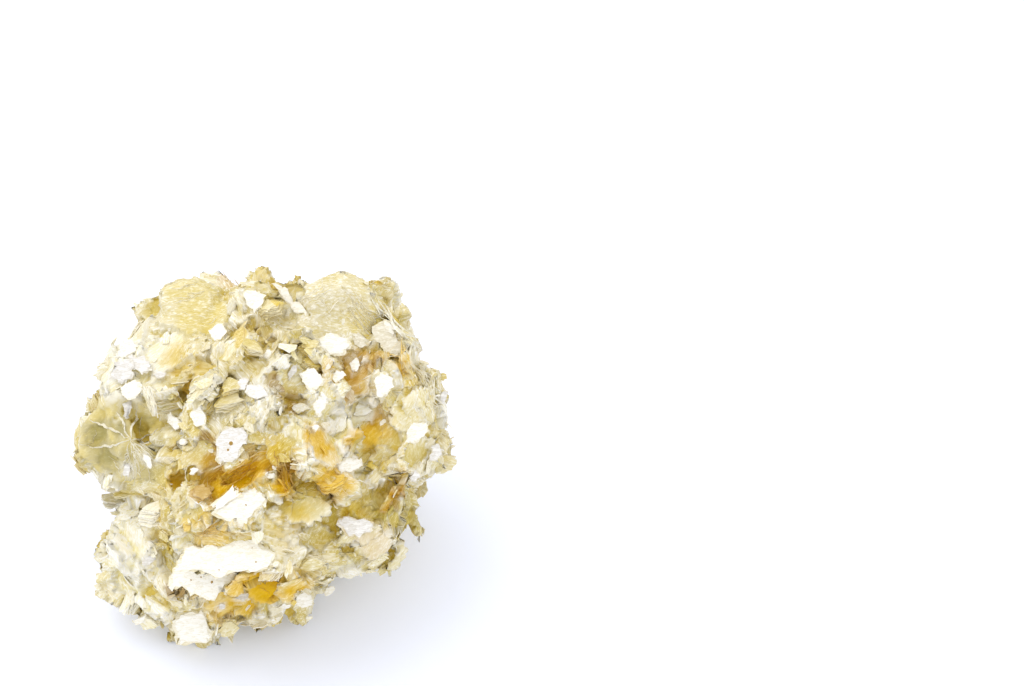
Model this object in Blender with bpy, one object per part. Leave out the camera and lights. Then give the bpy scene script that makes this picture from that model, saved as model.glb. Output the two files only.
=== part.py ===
"""A natural cluster of intergrown mica crystals, standing on the spot where it was broken from its vein.

Units are metres and +Z is up. The origin is on the resting face, under the middle of the cluster.
The cluster grew as one body, so it is one closed solid: rounded masses of packed crystal, with the
larger crystals ("books") standing out of them as six-sided plates, stepped where sheets split off.
"""

import math
import random

import bmesh
import bpy
from mathutils import Matrix, Vector

MM = 0.001

# Driving dimensions, in millimetres.
HEART = Vector((0.0, 1.0, 20.0))  # middle of the cluster, which every longitude and latitude is taken from
SHIFT = Vector((-0.1, -0.7, 0.0))  # brings the middle of the cluster over the origin
BASE_CUT = 0.0  # height of the flat broken face that the cluster rests on
STEP_IN = 0.86  # width of each upper sheet stack, as a share of the one below it
SUNK = 0.45  # share of a book's thickness that is buried in the mass under it
FILLER_BOOKS = 150  # smaller books spread evenly between the main ones
FILLER_ACROSS = (4.4, 8.0)
FILLER_THICK = (1.2, 2.8)
FILLER_LENGTH = 1.15  # length of a filler book, as a share of its width
FILLER_LEAN = 0.9  # how far a filler book leans, as a share of its outward direction
LEAN_LATITUDES = (-50, 70)  # lowest and highest latitude that a filler book leans towards
FILLER_CLEARANCE = 0.62  # a filler book closer than this share of a main book's width is left out
LUMPS = (0.93, 1.05)  # how far each corner of a mass is pushed in or out
CORNERS = (0.82, 1.12)  # how far each corner of a book is pushed in or out
FLOOR_BLOCK = 100.0  # side of the block that cuts the resting face
SEED = 4

# Rounded masses of packed crystal: middle (x, y, z) and half-widths (x, y, z).
MASSES = (
    ((1, 3, 21), (17, 15, 19)),  # heart of the cluster
    ((-17, 0, 24), (6.5, 7, 6.5)),  # left lobe
    ((-10, 10, 30), (9, 9, 8)),  # upper left, at the back
    ((-14, 6, 30), (7, 7, 7)),  # upper left shoulder
    ((-2, 12, 32), (8, 8, 8)),  # top, between the two sides
    ((8, 11, 30), (11, 9, 9)),  # upper right, at the back
    ((14, 6, 28), (8, 8, 8)),  # upper right shoulder
    ((17, 2, 24), (6.5, 9, 8)),  # right lobe
    ((-9, -11, 8), (7, 6.5, 9.5)),  # front foot
    ((0, -8, 9), (7, 6.5, 8)),  # right of the foot
    ((-14, -6, 10), (7.5, 7.5, 8.5)),  # lower left
    ((-1, 2, 7), (14, 12, 10)),  # base
    ((11, -6, 20), (9, 8, 7.5)),  # right of the front
    ((-1, -9, 21), (11, 9, 10)),  # front
    ((8, 10, 10), (9, 9, 12)),  # lower right, at the back
    ((-8, 12, 11), (9, 9, 13)),  # lower left, at the back
)

# Main books: longitude and latitude of the place, longitude and latitude that the flat cleavage face
# looks towards, turn about that direction, width across, length as a share of it, thickness, steps.
MAIN_BOOKS = (
    (-103, 6, -95, 66, 8, 7.5, 1.75, 2.6, 2),  # broad plate over the front foot
    (-117, -30, -92, 62, 20, 5.4, 1.15, 2.2, 2),  # plate at the toe of the foot
    (-99, 32, -88, 68, 30, 6.0, 1.20, 2.0, 2),  # kite-shaped plate on the front
    (-48, 12, -75, 66, 0, 5.0, 1.30, 1.8, 2),  # plate in the hollow on the right of the front
    (-44, 0, -62, 32, 15, 5.4, 1.10, 2.0, 2),
    (47, 50, -72, 36, -10, 10.0, 1.35, 3.0, 3),  # broad rippled plate at the top right
    (42, 36, -20, 30, 40, 8.0, 1.20, 2.4, 2),
    (128, 48, -100, 58, 5, 8.5, 1.25, 3.4, 3),  # domed book at the top left
    (95, 60, -95, 60, 30, 5.6, 1.10, 2.2, 2),
    (72, 52, -110, 40, 0, 6.2, 1.20, 2.2, 2),
    (166, 38, 178, 40, 20, 6.5, 1.20, 2.6, 2),
    (176, 33, -170, 22, 75, 6.5, 1.10, 2.8, 2),
    (150, 20, 160, 24, 0, 7.0, 1.20, 2.4, 2),
    (22, 34, 6, 14, 70, 9.0, 1.40, 2.4, 2),  # plates standing on edge along the right side
    (10, 20, -4, 8, 60, 8.5, 1.35, 2.6, 2),
    (-1, 29, -30, 44, 0, 6.5, 1.10, 2.6, 2),
    (-6, 14, -14, 14, 80, 7.0, 1.20, 2.4, 2),
    (-31, 11, -42, 6, 60, 7.0, 1.20, 2.4, 2),
    (-169, 28, -150, 30, 0, 6.5, 1.20, 2.4, 2),  # left lobe
    (-174, 14, -174, 10, 50, 6.5, 1.10, 2.6, 2),
    (-178, 22, -124, 60, 10, 5.4, 1.20, 2.2, 2),
    (-152, -16, -140, 24, 10, 6.6, 1.10, 2.8, 2),
    (-162, -4, -122, 44, 75, 3.6, 2.20, 1.6, 1),  # finger that sticks out on the left
    (-150, -28, -126, 38, 20, 6.4, 1.20, 2.6, 2),
    (-98, -34, -88, 30, 0, 6.0, 1.10, 2.2, 2),
    (-88, -8, -88, 20, 0, 6.2, 1.10, 2.4, 2),
    (-66, -14, -62, 12, 30, 6.0, 1.20, 2.2, 2),
    (-64, 27, -70, 44, 0, 6.4, 1.10, 2.2, 2),
    (-109, 58, -108, 70, 60, 5.2, 1.40, 1.8, 2),
    (-150, 57, -125, 62, 0, 5.6, 1.20, 2.0, 2),
    (-12, 62, -60, 60, 10, 5.8, 1.30, 2.0, 2),
    (4, 44, -50, 64, 40, 5.0, 1.20, 2.0, 2),
    (90, 30, 88, 22, 0, 10.0, 1.20, 3.0, 3),  # back of the cluster
    (60, 8, 48, 18, 30, 9.0, 1.20, 2.8, 2),
    (125, 5, 118, -4, 0, 9.0, 1.10, 2.8, 2),
    (152, -18, 152, 10, 50, 7.5, 1.20, 2.4, 2),
    (35, -14, 28, -8, 0, 8.0, 1.20, 2.6, 2),
    (78, -24, 84, 12, 20, 7.5, 1.20, 2.4, 2),
    (-12, -26, -10, 4, 60, 7.0, 1.20, 2.4, 2),
)


def towards(longitude, latitude):
    """Unit vector for a longitude and a latitude in degrees."""
    lon, lat = math.radians(longitude), math.radians(latitude)
    return Vector((math.cos(lat) * math.cos(lon), math.cos(lat) * math.sin(lon), math.sin(lat)))


def surface_point(direction):
    """Where a ray from the heart leaves the outermost mass, in millimetres."""
    farthest = 0.0
    for middle, half in MASSES:
        scale = Vector(half)
        start = HEART - Vector(middle)
        origin = Vector(a / b for a, b in zip(start, scale))
        along = Vector(a / b for a, b in zip(direction, scale))
        a, b, c = along.dot(along), 2 * origin.dot(along), origin.dot(origin) - 1
        root = b * b - 4 * a * c
        if root > 0:
            farthest = max(farthest, (-b + math.sqrt(root)) / (2 * a))
    return HEART + direction * farthest


def make_material(name, colour, roughness):
    """A plain pale material for the solid."""
    material = bpy.data.materials.new(name)
    material.use_nodes = True
    shader = material.node_tree.nodes["Principled BSDF"]
    shader.inputs["Base Color"].default_value = (*colour, 1.0)
    shader.inputs["Roughness"].default_value = roughness
    shader.inputs["Metallic"].default_value = 0.0
    return material


def add_object(name, bm):
    """A new object in the scene from a bmesh that is in millimetres, centred over the origin."""
    bmesh.ops.translate(bm, vec=SHIFT, verts=bm.verts)
    bmesh.ops.scale(bm, vec=(MM, MM, MM), verts=bm.verts)
    mesh = bpy.data.meshes.new(name)
    bm.to_mesh(mesh)
    bm.free()
    made = bpy.data.objects.new(name, mesh)
    bpy.context.scene.collection.objects.link(made)
    return made


def as_operand(made, group):
    """Moves an object into the group that a Boolean reads, out of the render."""
    made.hide_render = True
    made.display_type = "WIRE"
    bpy.context.scene.collection.objects.unlink(made)
    group.objects.link(made)


def make_mass(index, middle, half, rng):
    """One rounded mass with an uneven surface. The first one is the largest, and has the finest faces."""
    bm = bmesh.new()
    detail = 3 if index == 0 else 2
    bmesh.ops.create_icosphere(bm, subdivisions=detail, radius=1.0)
    for vert in bm.verts:
        vert.co *= rng.uniform(*LUMPS)
    turn = Matrix.Rotation(rng.uniform(0, math.tau), 4, towards(rng.uniform(0, 360), rng.uniform(-60, 60)))
    bmesh.ops.transform(bm, matrix=turn, verts=bm.verts)
    bmesh.ops.scale(bm, vec=half, verts=bm.verts)
    bmesh.ops.translate(bm, vec=middle, verts=bm.verts)
    return add_object(f"mass_{index:02d}", bm)


def make_book(name, place, facing, turn, across, length, thick, steps, rng):
    """A six-sided book of sheets whose cleavage face looks along facing, sunk a little at place."""
    bm = bmesh.new()
    corners = bmesh.ops.create_circle(bm, cap_ends=True, segments=6, radius=across / 2)["verts"]
    for corner in corners:
        corner.co *= rng.uniform(*CORNERS)
    bmesh.ops.scale(bm, vec=(length, 1.0, 1.0), verts=corners)
    top = bm.faces[:][0]
    for step in range(steps):
        if step:
            bmesh.ops.inset_individual(bm, faces=[top], thickness=across * (1 - STEP_IN) / 2)
        covered = [top] if step else []
        extruded = bmesh.ops.extrude_face_region(bm, geom=[top])["geom"]
        top = next(item for item in extruded if isinstance(item, bmesh.types.BMFace))
        bmesh.ops.translate(bm, vec=(0, 0, thick / steps), verts=top.verts)
        bmesh.ops.delete(bm, geom=covered, context="FACES_ONLY")
    bmesh.ops.recalc_face_normals(bm, faces=bm.faces)
    sink = Matrix.Translation((0, 0, -thick * SUNK))
    spin = Matrix.Rotation(math.radians(turn), 4, "Z")
    aim = facing.to_track_quat("Z", "Y").to_matrix().to_4x4()
    bmesh.ops.transform(bm, matrix=Matrix.Translation(place) @ aim @ spin @ sink, verts=bm.verts)
    return add_object(name, bm)


def filler_directions():
    """Directions from the heart that cover it evenly, on a golden-angle spiral."""
    for i in range(FILLER_BOOKS):
        height = 1 - 2 * (i + 0.5) / FILLER_BOOKS
        ring = math.sqrt(1 - height * height)
        turn = i * math.pi * (3 - math.sqrt(5))
        yield Vector((ring * math.cos(turn), ring * math.sin(turn), height))


def make_books(rng):
    """The main books, then the smaller ones wherever a main one isn't."""
    taken = []
    for index, row in enumerate(MAIN_BOOKS):
        lon, lat, face_lon, face_lat, *shape = row
        place = surface_point(towards(lon, lat))
        taken.append((place, shape[1]))
        yield make_book(f"main_book_{index:02d}", place, towards(face_lon, face_lat), *shape, rng)
    for index, outward in enumerate(filler_directions()):
        place = surface_point(outward)
        lean = towards(rng.uniform(0, 360), rng.uniform(*LEAN_LATITUDES))
        across = rng.uniform(*FILLER_ACROSS)
        thick = rng.uniform(*FILLER_THICK)
        if any((place - other).length < width * FILLER_CLEARANCE for other, width in taken):
            continue
        facing = (outward + lean * FILLER_LEAN).normalized()
        turn = rng.uniform(0, 360)
        yield make_book(f"book_{index:03d}", place, facing, turn, across, FILLER_LENGTH, thick, 1, rng)


def add_boolean(target, operation, group):
    """A Boolean modifier with the exact solver, whose operands are the objects in group."""
    modifier = target.modifiers.new(operation.lower(), "BOOLEAN")
    modifier.operation = operation
    modifier.solver = "EXACT"
    modifier.operand_type = "COLLECTION"
    modifier.collection = group


def make_floor_block(group):
    """A block below the resting face, which cuts the cluster off flat there."""
    bm = bmesh.new()
    bmesh.ops.create_cube(bm, size=FLOOR_BLOCK)
    bmesh.ops.translate(bm, vec=(0, 0, BASE_CUT - FLOOR_BLOCK / 2), verts=bm.verts)
    as_operand(add_object("floor_block", bm), group)


def main():
    for old in list(bpy.data.objects):
        bpy.data.objects.remove(old)
    rng = random.Random(SEED)
    grown, cut_away = (bpy.data.collections.new(name) for name in ("grown_together", "cut_away"))
    for group in (grown, cut_away):
        bpy.context.scene.collection.children.link(group)
    cluster, *lobes = [make_mass(i, middle, half, rng) for i, (middle, half) in enumerate(MASSES)]
    for piece in (*lobes, *make_books(rng)):
        as_operand(piece, grown)
    make_floor_block(cut_away)
    cluster.name = "mica_cluster"
    cluster.data.materials.append(make_material("mica", (0.80, 0.74, 0.50), 0.35))
    add_boolean(cluster, "UNION", grown)
    add_boolean(cluster, "DIFFERENCE", cut_away)


main()
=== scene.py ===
"""The looks of a natural cluster of intergrown mica crystals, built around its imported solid."""

import math
import random

import bmesh
import bpy
import numpy as np
from mathutils import Matrix, Vector, noise
from mathutils.bvhtree import BVHTree
from mathutils.kdtree import KDTree


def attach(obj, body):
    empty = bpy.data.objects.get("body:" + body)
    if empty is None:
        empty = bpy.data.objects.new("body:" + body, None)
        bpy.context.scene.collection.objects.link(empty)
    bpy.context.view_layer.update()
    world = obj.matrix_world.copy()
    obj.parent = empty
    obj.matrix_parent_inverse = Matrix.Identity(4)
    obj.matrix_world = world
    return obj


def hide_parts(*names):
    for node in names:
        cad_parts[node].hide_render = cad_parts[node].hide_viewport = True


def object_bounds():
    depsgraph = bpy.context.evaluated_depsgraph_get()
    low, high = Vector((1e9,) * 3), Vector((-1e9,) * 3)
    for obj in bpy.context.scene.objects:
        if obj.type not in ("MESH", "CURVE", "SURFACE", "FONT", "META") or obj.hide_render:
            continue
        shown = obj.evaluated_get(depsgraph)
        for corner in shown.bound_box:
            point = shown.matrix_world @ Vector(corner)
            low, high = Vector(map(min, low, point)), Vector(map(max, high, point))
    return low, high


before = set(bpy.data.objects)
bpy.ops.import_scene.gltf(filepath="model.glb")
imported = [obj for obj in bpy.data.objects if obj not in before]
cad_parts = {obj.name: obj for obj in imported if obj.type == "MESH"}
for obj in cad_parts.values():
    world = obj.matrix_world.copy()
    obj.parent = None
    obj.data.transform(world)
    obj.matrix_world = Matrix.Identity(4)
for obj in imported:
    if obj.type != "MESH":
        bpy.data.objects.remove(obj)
cad_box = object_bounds()

# ---------------------------------------------------------------------------------------------
# Camera. It looks down on the cluster from the front at 50 degrees, from about 0.4 m away, with
# a long lens. Places on the front are named by the picture coordinates in which they are seen.
PICTURE = (1024, 686)  # size of the picture, in pixels
MIDDLE_SEEN = (267, 461)  # where the middle of the cluster is in the picture
PIXELS_PER_METRE = 7500
MIDDLE = Vector((-0.0001, 0.0003, 0.020))
LOOK_DOWN = math.radians(50)
DISTANCE = 0.379
LENS, SENSOR = 100.0, 36.0  # mm
FOCAL = PICTURE[0] * LENS / SENSOR  # the focal length, in pixels

view = Vector((0, math.cos(LOOK_DOWN), -math.sin(LOOK_DOWN)))
up = Vector((0, math.sin(LOOK_DOWN), math.cos(LOOK_DOWN)))
right = Vector((1, 0, 0))
aside = right * (PICTURE[0] / 2 - MIDDLE_SEEN[0]) / PIXELS_PER_METRE
above = up * (MIDDLE_SEEN[1] - PICTURE[1] / 2) / PIXELS_PER_METRE
eye = MIDDLE - view * DISTANCE + aside + above

camera = bpy.data.objects.new("camera", bpy.data.cameras.new("camera"))
camera.data.lens, camera.data.sensor_width = LENS, SENSOR
camera.matrix_world = Matrix.LocRotScale(eye, view.to_track_quat("-Z", "Y"), None)
bpy.context.scene.collection.objects.link(camera)
bpy.context.scene.camera = camera

# ---------------------------------------------------------------------------------------------
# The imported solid. It isn't shown, but every crystal below sits on it: those on the front where
# the ray of a picture place meets it, and those elsewhere at places drawn from its faces.
MM = 0.001  # metres
SEARCHED = 25  # mm before and behind the middle in which a ray that misses the solid is searched
rng = random.Random(7)
noise.seed_set(7)
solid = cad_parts["mica_cluster"]
solid_tree = BVHTree.FromPolygons(
    [v.co / MM for v in solid.data.vertices], [tuple(p.vertices) for p in solid.data.polygons]
)


def ray_of(px, py):
    """Unit direction in which a picture place is seen."""
    return (view * FOCAL + right * (px - PICTURE[0] / 2) + up * (PICTURE[1] / 2 - py)).normalized()


def seen_at(point):
    """The picture place in which a point in mm is seen."""
    way = point * MM - eye
    focal = FOCAL / way.dot(view)
    return PICTURE[0] / 2 + way.dot(right) * focal, PICTURE[1] / 2 - way.dot(up) * focal


def on_solid(px, py):
    """The point of the solid, in mm, that is seen at a picture place, or the nearest one to its ray."""
    start, along = eye / MM, ray_of(px, py)
    hit = solid_tree.ray_cast(start, along)[0]
    if hit is not None:
        return hit
    reach = (MIDDLE / MM - start).length
    tries = [start + along * (reach + step) for step in np.linspace(-SEARCHED, SEARCHED, 101)]
    return min((solid_tree.find_nearest(p) for p in tries), key=lambda found: found[3])[0]


# ---------------------------------------------------------------------------------------------
# Colour of the sheets. Thick mica is straw coloured and its thin flakes are nearly white. Iron
# has stained some zones amber and rust, and the left lobe is a clear grey green.
STRAW, CREAM, WHITE = "#D0BC6A", "#E1D39C", "#F7F4EA"
OLIVE, AMBER, RUST, BROWN = "#BFAC48", "#E0B404", "#C09206", "#9E780A"
GREEN, GREY, PINK, DEEP = "#BDB07C", "#E0D9C4", "#E6D6B6", "#D9BD4C"
SILVER, GOLD, MOSS = "#E2DFDC", "#E8C44A", "#9C925A"
ZONES = (  # picture place, radius in mm, colour, strength
    (206, 486, 2.4, RUST, 0.9), (219, 480, 3.0, RUST, 1.0), (224, 471, 1.0, BROWN, 1.0),
    (236, 484, 2.6, AMBER, 1.0), (250, 466, 3.2, AMBER, 0.9), (264, 456, 2.6, AMBER, 0.8),
    (288, 482, 2.2, AMBER, 1.0), (289, 468, 1.8, RUST, 0.9), (278, 450, 2.4, DEEP, 0.7),
    (328, 462, 2.6, GOLD, 0.6), (332, 485, 2.8, GOLD, 0.7), (356, 440, 2.2, AMBER, 0.8),
    (374, 434, 2.4, GOLD, 1.0), (386, 428, 2.0, GOLD, 0.5), (378, 416, 2.0, RUST, 0.7),
    (352, 366, 2.2, RUST, 0.9), (368, 360, 2.4, RUST, 0.8), (354, 388, 2.4, RUST, 0.7),
    (364, 402, 2.2, RUST, 0.6), (329, 372, 1.8, AMBER, 0.9), (402, 362, 1.8, GOLD, 1.0),
    (405, 380, 1.8, GOLD, 1.0), (391, 352, 2.0, DEEP, 0.4), (388, 340, 3.2, CREAM, 1.0),
    (296, 402, 1.8, BROWN, 0.9), (284, 392, 1.8, BROWN, 1.0), (272, 378, 1.6, BROWN, 0.9),
    (255, 333, 0.9, BROWN, 0.8), (269, 336, 0.9, BROWN, 0.8), (250, 329, 2.6, DEEP, 0.8),
    # The olive and rust zones at picture places (394, 500), (398, 493) and (410, 520) are painted shade of
    # plates that lie in shadow.
    (236, 277, 2.0, RUST, 0.6), (355, 511, 2.2, DEEP, 1.0), (394, 500, 4.0, OLIVE, 1.0),
    (398, 493, 3.0, RUST, 1.0), (410, 520, 3.4, OLIVE, 0.8), (264, 586, 4.0, AMBER, 1.0),
    (268, 580, 3.0, RUST, 0.3), (240, 588, 2.6, AMBER, 0.8), (222, 606, 2.8, GOLD, 0.8),
    (240, 604, 2.6, GOLD, 1.0), (262, 604, 3.0, AMBER, 0.8), (204, 600, 2.0, GOLD, 0.7),
    (301, 581, 2.4, AMBER, 1.0), (171, 480, 1.0, AMBER, 1.0), (180, 470, 4.0, DEEP, 0.5),
    # The deep yellow zones at picture places (175, 358) and (190, 366) are painted shade in crevices.
    (178, 502, 3.4, CREAM, 0.7), (175, 358, 2.2, DEEP, 0.6), (190, 366, 2.2, DEEP, 0.5),
    (208, 348, 2.8, CREAM, 0.7), (190, 303, 4.6, CREAM, 0.7), (335, 312, 5.4, GREY, 0.7),
    (262, 350, 2.6, CREAM, 0.6), (205, 345, 2.6, GREY, 0.6), (143, 424, 1.7, GREEN, 0.9),
    (116, 424, 2.4, GREEN, 1.0), (98, 434, 2.6, GREEN, 1.0), (107, 456, 3.0, GREEN, 1.0),
    (140, 462, 3.4, GREEN, 0.8), (118, 497, 2.0, GREEN, 0.9), (98, 431, 1.3, MOSS, 0.8),
    (106, 457, 1.3, MOSS, 0.7), (119, 427, 1.0, MOSS, 0.6), (158, 444, 1.8, GREEN, 0.8),
    (313, 512, 3.4, GREEN, 0.4), (130, 350, 4.0, WHITE, 0.7), (122, 378, 4.4, WHITE, 0.7),
    (117, 573, 5.0, WHITE, 0.6), (128, 540, 4.8, WHITE, 0.8), (138, 602, 4.8, WHITE, 0.9),
    (146, 602, 2.8, WHITE, 0.7), (170, 590, 2.2, BROWN, 0.9), (160, 320, 3.0, GREY, 0.6),
    (207, 440, 1.2, BROWN, 0.9), (212, 458, 1.2, RUST, 0.5), (210, 533, 3.0, GOLD, 0.8),
    (235, 530, 2.4, GOLD, 0.4), (385, 470, 2.8, CREAM, 0.8), (425, 382, 3.6, CREAM, 0.6),
    (320, 440, 2.6, AMBER, 0.9), (292, 524, 2.8, DEEP, 0.8), (250, 444, 2.0, CREAM, 0.7),
    (312, 566, 2.8, CREAM, 0.7), (352, 465, 2.4, WHITE, 0.6), (390, 460, 2.8, CREAM, 0.7),
    (135, 507, 3.4, WHITE, 0.7), (314, 486, 2.6, CREAM, 0.6), (310, 365, 2.8, WHITE, 0.6),
    (212, 403, 2.6, WHITE, 0.6), (230, 386, 2.2, CREAM, 0.8), (230, 405, 2.2, GREY, 0.8),
    (170, 405, 2.6, CREAM, 0.9), (148, 515, 3.0, WHITE, 0.7), (310, 344, 2.4, GREY, 0.7),
    (370, 325, 3.0, CREAM, 0.8), (312, 546, 2.4, CREAM, 0.7), (340, 480, 2.6, AMBER, 0.6),
    (232, 395, 4.2, GREY, 0.7), (262, 412, 3.6, GREY, 0.8), (336, 423, 2.4, GREY, 0.9),
    (362, 410, 2.2, GREY, 0.9), (322, 398, 3.4, WHITE, 0.7), (380, 385, 3.0, WHITE, 0.5),
    (412, 415, 4.0, CREAM, 0.4), (420, 440, 3.4, CREAM, 0.5), (445, 415, 3.0, WHITE, 0.7),
    (300, 325, 4.0, GREY, 0.5), (374, 544, 3.0, PINK, 0.9), (300, 545, 3.6, GREY, 0.4),
)


def linear(hex_colour):
    """A colour written as sRGB hex, turned to the linear red, green and blue that shaders take."""
    parts = [int(hex_colour[i : i + 2], 16) / 255 for i in (1, 3, 5)]
    return np.array([c / 12.92 if c <= 0.04045 else ((c + 0.055) / 1.055) ** 2.4 for c in parts])


ZONE_EDGE = 1.2  # radii of a zone at which it ends
ZONE_FADE = 0.5  # radii over which it fades
OLIVE_PATCHES, OLIVE_MOST = 0.16, 0.4  # patches of olive per mm, and their greatest share
DEEP_PATCHES, DEEP_MOST = 0.11, 0.7  # the same for the patches of deeper yellow
DEEP_OFF = Vector((9, 3, 5))  # sets them apart from the patches of olive

zones = [(on_solid(px, py), radius, linear(hue), share) for px, py, radius, hue, share in ZONES]
straw, cream, white, olive, deep_yellow = map(linear, (STRAW, CREAM, WHITE, OLIVE, DEEP))


def tint_at(point, tone):
    """Linear colour of the sheets at a point in mm. tone runs from 0, straw, to 1, nearly white."""
    hue = straw + (cream - straw) * min(tone * 2, 1) + (white - cream) * max(tone * 2 - 1, 0)
    greened = noise.fractal(point * OLIVE_PATCHES, 0.6, 2.1, 3) * 0.6
    hue = hue + (olive - hue) * min(max(greened, 0), OLIVE_MOST)
    yellowed = noise.noise(point * DEEP_PATCHES + DEEP_OFF) * 1.6 - 0.3
    hue = hue + (deep_yellow - hue) * min(max(yellowed, 0), DEEP_MOST)
    ragged = 0.5 * noise.noise(point * 0.7) + 0.25 * noise.noise(point * 2.1)
    for middle, radius, colour, share in zones:
        near = (point - middle).length / radius + ragged
        if near < ZONE_EDGE:
            hue = hue + (colour - hue) * share * min((ZONE_EDGE - near) / ZONE_FADE, 1)
    return hue


# ---------------------------------------------------------------------------------------------
# Pearly plates: large split faces on the front that throw the light back white, and whose white colour is
# also a painted glint. Each is a few sheets of muscovite, and its outline follows the way it has broken,
# given in picture places.
PLATES_SEEN = (  # side and front lean of its facing in degrees, sheets, colour, then its outline
    (-6, 27, 3, WHITE, ((174, 572), (179, 560), (186, 545), (196, 547), (207, 544), (219, 546), (236, 539))
     + ((252, 538), (264, 544), (277, 554), (273, 567), (258, 573), (241, 570), (222, 578), (200, 572))),
    (3, 33, 3, WHITE, ((168, 587), (174, 569), (199, 564), (221, 572), (241, 568), (232, 582), (220, 590))
     + ((215, 600), (204, 598), (192, 594), (182, 586))),
    (0, 50, 4, WHITE, ((172, 621), (180, 613), (202, 609), (207, 618), (213, 637), (206, 642), (178, 644))),
    (8, 30, 3, WHITE, ((213, 513), (238, 492), (252, 489), (262, 492), (268, 501), (247, 521), (241, 531))),
    (6, 36, 3, WHITE, ((212, 506), (236, 486), (239, 489), (240, 494), (217, 510))),
    (-12, 30, 3, SILVER, ((217, 438), (227, 426), (243, 428), (248, 438), (240, 454), (231, 464))
     + ((218, 463),)),
    (6, 20, 3, SILVER, ((336, 523), (345, 518), (361, 519), (374, 524), (371, 531), (361, 537), (348, 535))),
    (4, 25, 3, WHITE, ((318, 349), (320, 337), (330, 334), (346, 340), (350, 348), (340, 356), (328, 355))),
    (12, 25, 2, GREY, ((352, 343), (352, 334), (358, 333), (368, 340), (370, 346), (360, 348))),
    (0, 30, 3, WHITE, ((306, 370), (313, 369), (324, 377), (320, 388), (311, 394), (306, 386), (301, 376))),
    (15, 25, 2, WHITE, ((374, 380), (382, 373), (392, 378), (393, 386), (386, 395), (378, 394))),
    (0, 30, 2, WHITE, ((244, 294), (255, 290), (264, 294), (261, 307), (256, 314), (250, 307))),
    (10, 30, 2, GREY, ((370, 325), (383, 321), (397, 333), (404, 349), (397, 358), (385, 352), (376, 341))),
    (12, 20, 2, WHITE, ((274, 284), (285, 286), (291, 297), (297, 305), (290, 306), (282, 298))),
    (-5, 25, 2, WHITE, ((209, 331), (222, 323), (227, 331), (222, 341), (212, 340))),
    (-5, 30, 2, WHITE, ((188, 412), (201, 407), (206, 417), (206, 425), (196, 426))),
)
CHIPS_SEEN = (  # smaller split faces: picture place, length and width in mm, turn in degrees
    (356, 365, 1.9, 1.5, 80), (337, 376, 2.1, 1.7, 30), (321, 405, 3.0, 1.6, 75), (175, 422, 2.8, 1.4, -55),
    (350, 465, 3.4, 2.0, 20), (148, 460, 2.3, 0.9, -55), (127, 469, 2.2, 1.2, 80), (129, 506, 2.4, 1.6, 10),
    (304, 600, 2.6, 2.0, -30), (128, 350, 3.6, 2.4, 20), (122, 372, 3.6, 2.8, 50), (141, 365, 3.2, 2.2, -30),
    (132, 389, 3.6, 2.4, 10), (417, 430, 3.6, 2.4, 60), (255, 392, 3.4, 2.2, -20), (242, 385, 2.0, 1.4, 40),
    (243, 597, 1.7, 1.0, 20), (222, 606, 1.0, 0.8, 0), (271, 476, 1.1, 0.9, 0), (315, 428, 1.0, 0.8, 0),
    (127, 408, 2.8, 1.0, 85), (184, 442, 1.3, 1.0, 0), (194, 471, 1.1, 0.9, 30), (109, 480, 1.8, 1.0, 60),
    (390, 327, 3.0, 1.0, -55), (436, 452, 2.6, 1.6, 70), (442, 398, 2.2, 1.2, 60), (292, 372, 2.4, 1.0, 60),
    (268, 355, 1.6, 1.0, 50), (160, 375, 2.0, 1.4, 0), (330, 590, 2.0, 1.2, 40), (150, 560, 2.4, 1.2, 30),
    (140, 620, 2.2, 1.0, 30), (286, 605, 1.6, 0.8, 20), (414, 478, 2.0, 1.0, 60), (300, 309, 3.0, 1.4, -40),
)
PLATE_SHEET = 0.09  # mm, the thickness of one sheet
PLATE_RAISED = 0.05  # mm by which its foot stands off the solid
PLATE_STEP = 0.035  # share by which each sheet is smaller than the one below
PLATE_RAGGED = 0.4  # mm by which its edge is uneven
PLATE_HALO = 0.4  # mm round a chip over which the groundmass is painted paler too, a painted highlight round its glint
PLATE_DEEPEST = 4  # mm over a plate within which the groundmass is pushed back under it
CHIP_SHEETS = 3


def chip_outline(px, py, length, width, turn):
    """A jagged outline of seven to ten corners in picture places."""
    corners = rng.randint(7, 10)
    scale = PIXELS_PER_METRE * MM / 2
    spin = math.radians(turn)
    outline = []
    for index in range(corners):
        angle = (index + rng.uniform(-0.25, 0.25)) * math.tau / corners
        x = math.cos(angle) * length * scale * rng.uniform(0.65, 1.25)
        y = math.sin(angle) * width * scale * rng.uniform(0.65, 1.25)
        across = px + x * math.cos(spin) + y * math.sin(spin)
        down = py - x * math.sin(spin) + y * math.cos(spin)
        outline.append((across, down))
    return tuple(outline)


def inside(px, py, outline):
    """Whether a picture place lies within an outline."""
    crossed = False
    for (ax, ay), (bx, by) in zip(outline, outline[1:] + outline[:1]):
        if (ay > py) != (by > py) and px < ax + (py - ay) * (bx - ax) / (by - ay):
            crossed = not crossed
    return crossed


def settle(side, front, sheets, colour, outline):
    """Where a plate lies: its middle in mm, its facing, between its own lean and the solid's, its outline."""
    corners = [on_solid(*place) for place in outline]
    middle = sum(corners, Vector()) / len(corners)
    under = Vector()
    for one, other in zip(corners, corners[1:] + corners[:1]):
        under += (one - middle).cross(other - middle)
    if under.dot(view) > 0:
        under.negate()
    side, front = math.radians(side), math.radians(front)
    lean = Vector((math.sin(side), -math.sin(front), math.cos(front)))
    facing = (under.normalized() * 0.6 + lean.normalized()).normalized()
    return middle + facing * PLATE_RAISED, facing, sheets, colour, outline


def plate_over(point, margin=0.02):
    """The step in mm by which a point stands over the plate that it hides, or None where it hides none."""
    px, py = seen_at(point)
    for middle, facing, _, _, outline in plates:
        above = (point - middle).dot(facing) + margin
        if 0 < above < PLATE_DEEPEST and inside(px, py, outline):
            return facing * above
    return None


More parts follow.
